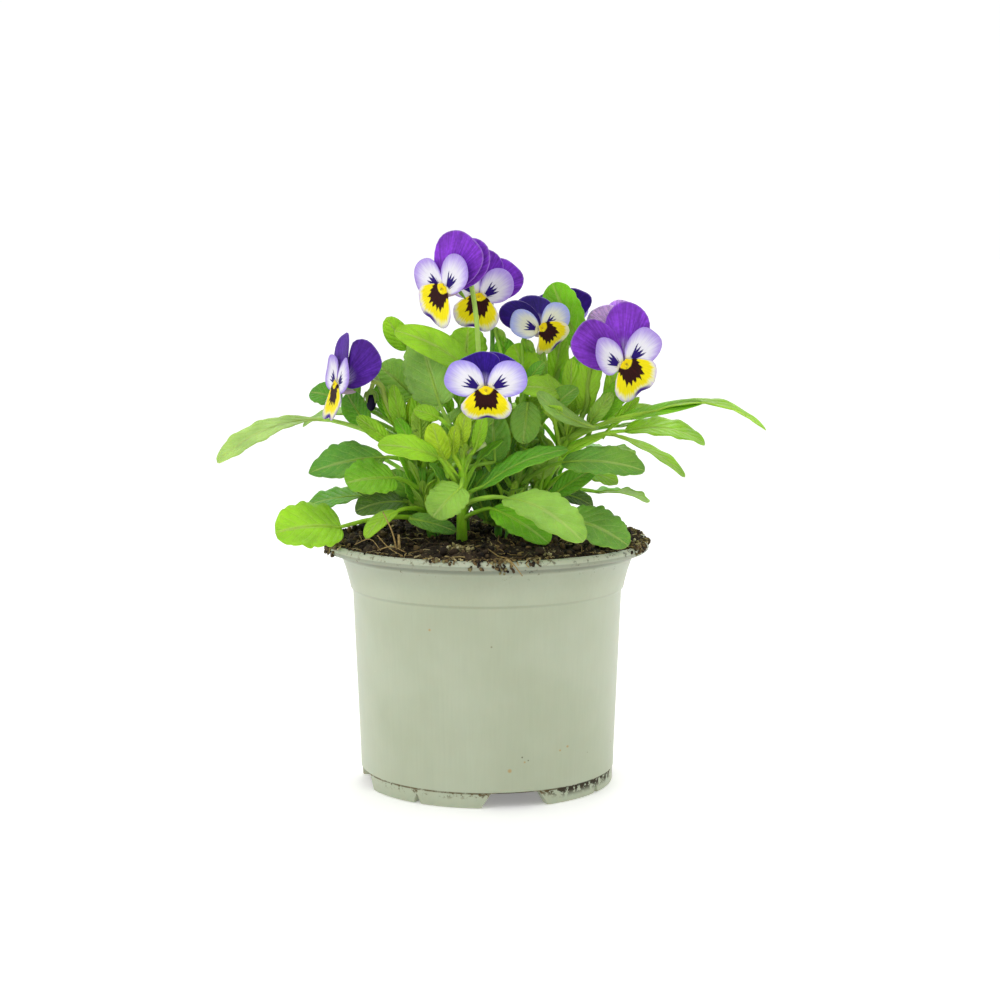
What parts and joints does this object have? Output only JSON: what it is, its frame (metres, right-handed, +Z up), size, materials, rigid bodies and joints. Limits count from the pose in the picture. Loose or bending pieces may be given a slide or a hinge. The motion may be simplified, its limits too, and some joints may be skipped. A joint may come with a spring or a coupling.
{
  "type": "potted horned violet",
  "caption": "Horned violet in bloom, with violet, white and yellow pansy-like flowers over leafy stems, in a round pale green plastic growers' pot filled with peat.",
  "frame": {"origin": "middle of the pot's foot, on the floor", "axes": "+Z up along the pot's axis; -Y towards the side that is looked at, where most blooms face; +X to that view's right"},
  "size_m": [0.2005, 0.1325, 0.2039],
  "materials": {
    "pot_plastic": "satin, pale grey-green",
    "soil": "rough dark peat with tan fibres",
    "leaf_green": "soft satin leaf",
    "petal_violet": "velvety matte",
    "petal_lilac": "velvety matte",
    "petal_yellow": "velvety matte"
  },
  "bodies": {
    "root": {"pot": "pot_plastic", "soil": "soil", "stem_front": "leaf_green", "stem_low_left": "leaf_green", "stem_left": "leaf_green", "stem_back_left": "leaf_green", "stem_middle": "leaf_green", "stem_low_right": "leaf_green", "stem_right": "leaf_green", "stem_back_right": "leaf_green", "stem_rear_right": "leaf_green", "stem_rear_middle": "leaf_green", "stem_rear_left": "leaf_green", "bloom_1_upper_right": "petal_violet", "bloom_1_upper_left": "petal_violet", "bloom_1_side_right": "petal_lilac", "bloom_1_side_left": "petal_lilac", "bloom_1_lip": "petal_yellow", "bloom_2_upper_right": "petal_violet", "bloom_2_upper_left": "petal_violet", "bloom_2_side_right": "petal_lilac", "bloom_2_side_left": "petal_lilac", "bloom_2_lip": "petal_yellow", "bloom_3_upper_right": "petal_violet", "bloom_3_upper_left": "petal_violet", "bloom_3_side_right": "petal_lilac", "bloom_3_side_left": "petal_lilac", "bloom_3_lip": "petal_yellow", "bloom_4_upper_right": "petal_violet", "bloom_4_upper_left": "petal_violet", "bloom_4_side_right": "petal_lilac", "bloom_4_side_left": "petal_lilac", "bloom_4_lip": "petal_yellow", "bloom_5_upper_right": "petal_violet", "bloom_5_upper_left": "petal_violet", "bloom_5_side_right": "petal_lilac", "bloom_5_side_left": "petal_lilac", "bloom_5_lip": "petal_yellow", "bloom_6_upper_right": "petal_violet", "bloom_6_upper_left": "petal_violet", "bloom_6_side_right": "petal_lilac", "bloom_6_side_left": "petal_lilac", "bloom_6_lip": "petal_yellow", "bloom_7_upper_right": "petal_violet", "bloom_7_upper_left": "petal_violet", "bloom_7_side_right": "petal_lilac", "bloom_7_side_left": "petal_lilac", "bloom_7_lip": "petal_yellow", "bloom_8_upper_right": "petal_violet", "bloom_8_upper_left": "petal_violet", "bloom_8_side_right": "petal_lilac", "bloom_8_side_left": "petal_lilac", "bloom_8_lip": "petal_yellow", "dark_bud": "petal_violet"}
  },
  "joints": []
}
